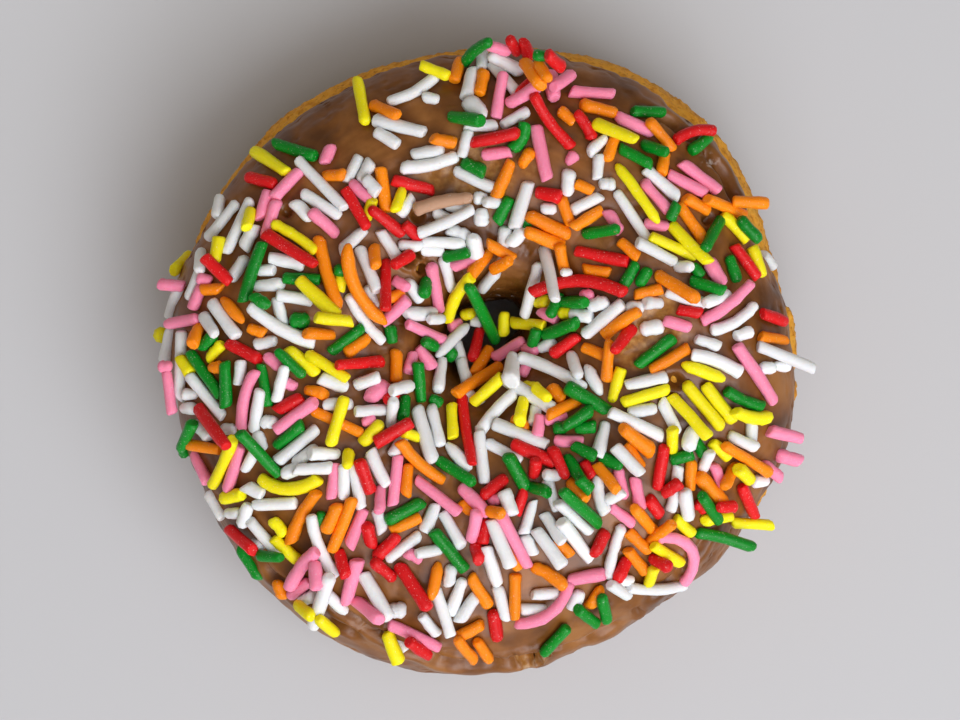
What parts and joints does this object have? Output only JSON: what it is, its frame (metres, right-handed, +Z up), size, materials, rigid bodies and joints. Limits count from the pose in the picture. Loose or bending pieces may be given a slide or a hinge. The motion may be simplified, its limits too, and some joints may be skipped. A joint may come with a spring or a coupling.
{
  "type": "sprinkle frosted doughnut",
  "caption": "Ring doughnut of fried dough, its hole nearly closed, with chocolate frosting over the top and a thick scatter of coloured sugar sprinkles.",
  "frame": {"origin": "middle of the base of the doughnut's bounding box, on the surface that it rests on", "axes": "+Z up, out of the frosted top, along the shortest side; +X and +Y lie along the surface"},
  "size_m": [0.0882, 0.0884, 0.0327],
  "materials": {
    "fried_dough": "matte golden brown crust of fried yeast dough",
    "chocolate_frosting": "satin set chocolate frosting",
    "sugar_white": "matte white pressed sugar paste of the sprinkles",
    "sugar_pink": "matte pink pressed sugar paste of the sprinkles",
    "sugar_orange": "satin orange pressed sugar paste of the sprinkles",
    "sugar_yellow": "satin yellow pressed sugar paste of the sprinkles",
    "sugar_green": "satin green pressed sugar paste of the sprinkles",
    "sugar_red": "satin red pressed sugar paste of the sprinkles"
  },
  "bodies": {
    "root": {"dough": "fried_dough", "frosting": "chocolate_frosting"}
  },
  "joints": []
}
